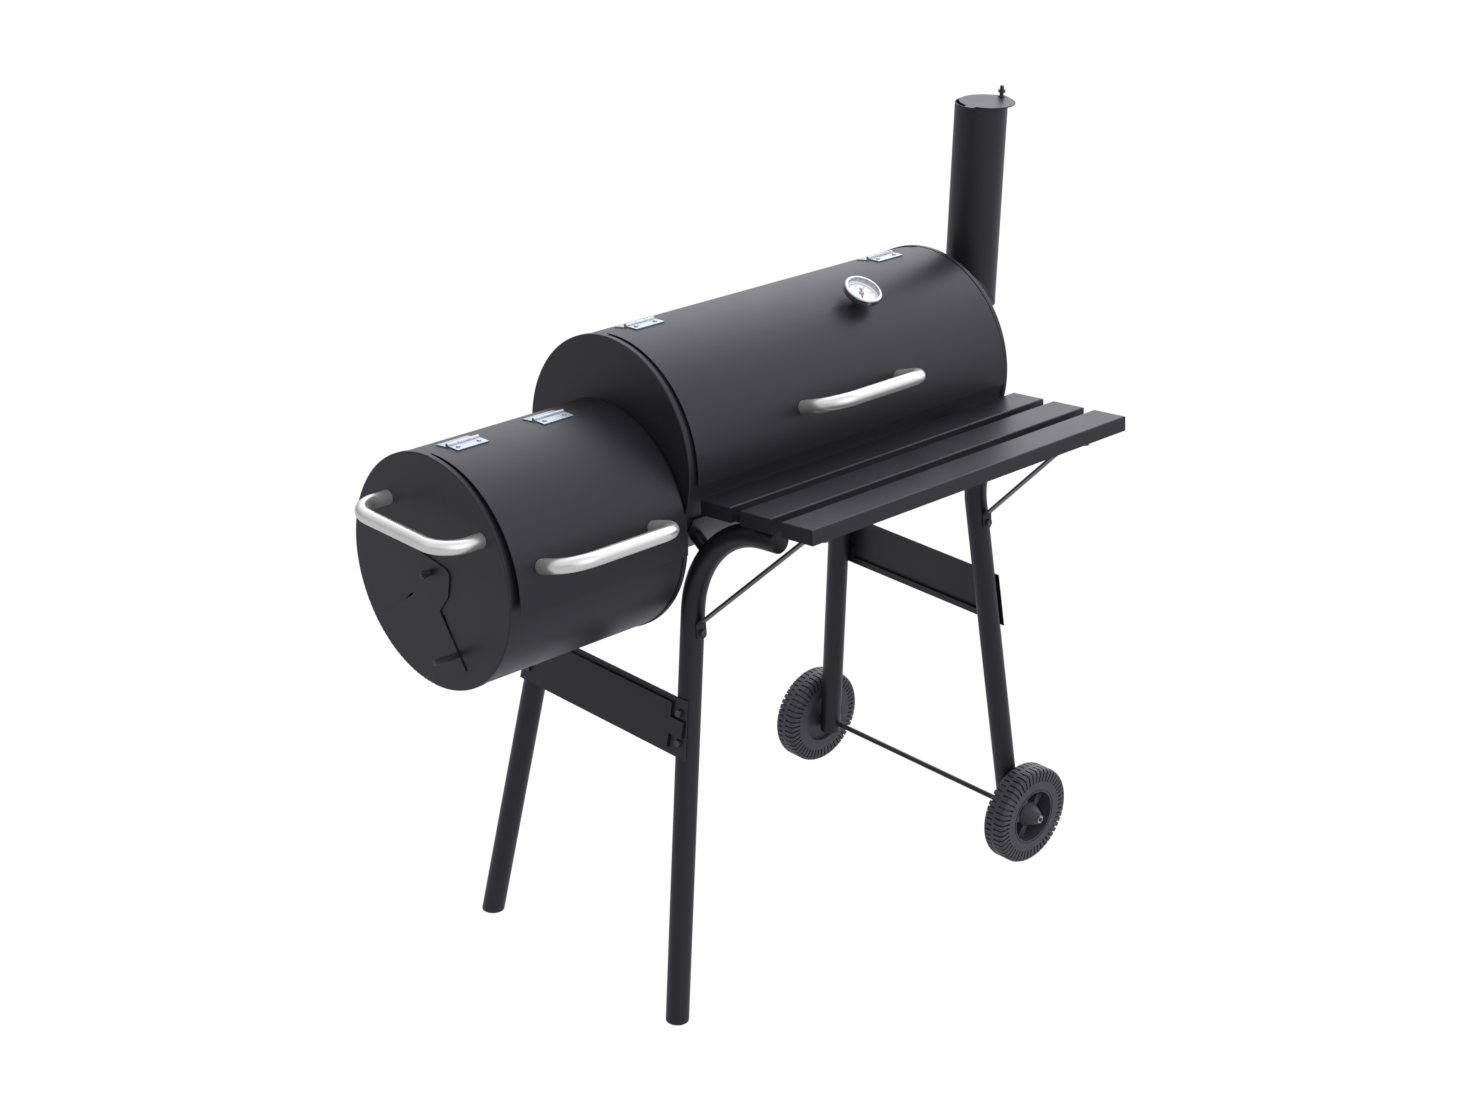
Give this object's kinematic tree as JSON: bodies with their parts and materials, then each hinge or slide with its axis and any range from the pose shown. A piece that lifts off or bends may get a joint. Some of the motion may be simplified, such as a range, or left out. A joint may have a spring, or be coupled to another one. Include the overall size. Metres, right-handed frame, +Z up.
{
  "type": "offset smoker",
  "caption": "Barrel smoker with a lower side firebox, hinged lids, a chimney with a swing flap, a slatted front table, splayed tube legs and transport wheels.",
  "frame": {"origin": "on the floor under the middle of the part's box", "axes": "+Z up, +X along the barrels from the firebox to the chimney, -Y to the front with the table and the lid handles"},
  "size_m": [1.1595, 0.6306, 1.1663],
  "materials": {
    "barrel_paint": "satin black heat-proof paint",
    "frame_paint": "satin black powder coat",
    "black_fastener": "black oxide fasteners",
    "zinc_steel": "bright zinc plate",
    "stainless_tube": "brushed stainless tube",
    "grate_steel": "plated wire",
    "wheel_plastic": "moulded dark grey",
    "foot_plastic": "moulded black",
    "bezel_chrome": "polished pressed case",
    "dial_enamel": "white printed dial",
    "needle_paint": "painted pointer",
    "dial_glass": "clear window"
  },
  "bodies": {
    "smoker_frame": {"main_left_cap": "barrel_paint", "main_right_cap": "barrel_paint", "main_shell": "barrel_paint", "firebox_left_cap": "barrel_paint", "firebox_right_cap": "barrel_paint", "firebox_shell": "barrel_paint", "barrel_joint_bolts": "zinc_steel", "main_hinge_fixed_leaves": "zinc_steel", "main_hinge_pins": "zinc_steel", "firebox_hinge_fixed_leaves": "zinc_steel", "firebox_hinge_pins": "zinc_steel", "carry_handle": "stainless_tube", "chimney_pipe": "barrel_paint", "chimney_neck": "barrel_paint", "chimney_collar_bolts": "zinc_steel", "chimney_flap_bolt": "black_fastener", "damper_pivot_bolt": "black_fastener", "front_left_leg": "frame_paint", "rear_left_leg": "frame_paint", "left_saddles": "frame_paint", "left_leg_panel": "frame_paint", "left_strut": "frame_paint", "front_right_leg": "frame_paint", "rear_right_leg": "frame_paint", "right_saddles": "frame_paint", "right_leg_panel": "frame_paint", "right_strut": "frame_paint", "saddle_spacers": "frame_paint", "slat_bars": "frame_paint", "left_feet": "foot_plastic", "leg_panel_bolts": "black_fastener", "strut_bolts": "black_fastener", "arm_plugs": "foot_plastic", "inner_slat": "frame_paint", "middle_slat": "frame_paint", "outer_slat": "frame_paint", "axle": "frame_paint", "axle_nuts": "zinc_steel", "cooking_grate": "grate_steel", "charcoal_grate": "grate_steel", "firebox_grate": "grate_steel", "grate_angles": "frame_paint"},
    "main_lid": {"main_lid": "barrel_paint", "main_lid_handle": "stainless_tube", "main_hinge_lid_leaves": "zinc_steel", "main_lid_rivets": "zinc_steel", "thermometer_case": "bezel_chrome", "thermometer_stem": "zinc_steel", "thermometer_dial": "dial_enamel", "thermometer_glass": "dial_glass"},
    "thermometer_needle": {"thermometer_needle": "needle_paint"},
    "firebox_lid": {"firebox_lid": "barrel_paint", "firebox_lid_handle": "stainless_tube", "firebox_hinge_lid_leaves": "zinc_steel", "firebox_lid_rivets": "zinc_steel"},
    "air_damper": {"damper_plate": "barrel_paint", "damper_knob": "black_fastener"},
    "chimney_flap": {"chimney_flap": "barrel_paint"},
    "front_wheel": {"front_wheel": "wheel_plastic"},
    "rear_wheel": {"rear_wheel": "wheel_plastic"}
  },
  "joints": [
    {"name": "main_lid_hinge", "type": "hinge", "parent": "smoker_frame", "child": "main_lid", "pos_m": [-0.20425, 0.07587, 0.94541], "axis": [-1, 0, 0], "range_deg": [0, 100]},
    {"name": "needle_turn", "type": "hinge", "parent": "main_lid", "child": "thermometer_needle", "pos_m": [0.19825, -0.01796, 0.9291], "axis": [0, -0.4384, 0.8988], "range_deg": [-250, 0]},
    {"name": "firebox_lid_hinge", "type": "hinge", "parent": "smoker_frame", "child": "firebox_lid", "pos_m": [-0.20425, 0.06525, 0.85576], "axis": [-1, 0, 0], "range_deg": [0, 100]},
    {"name": "damper_swing", "type": "hinge", "parent": "smoker_frame", "child": "air_damper", "pos_m": [-0.50975, 0.0551, 0.694], "axis": [-1, 0, 0], "range_deg": [-70, 84]},
    {"name": "flap_swing", "type": "hinge", "parent": "smoker_frame", "child": "chimney_flap", "pos_m": [0.57075, 0.0551, 1.148], "axis": [0, 0, 1], "range_deg": [-7.5, 120]},
    {"name": "front_wheel_spin", "type": "hinge", "parent": "smoker_frame", "child": "front_wheel", "pos_m": [0.46611, -0.1714, 0.0777], "axis": [0, 1, 0], "continuous": true},
    {"name": "rear_wheel_spin", "type": "hinge", "parent": "smoker_frame", "child": "rear_wheel", "pos_m": [0.46611, 0.2816, 0.0777], "axis": [0, 1, 0], "continuous": true}
  ]
}
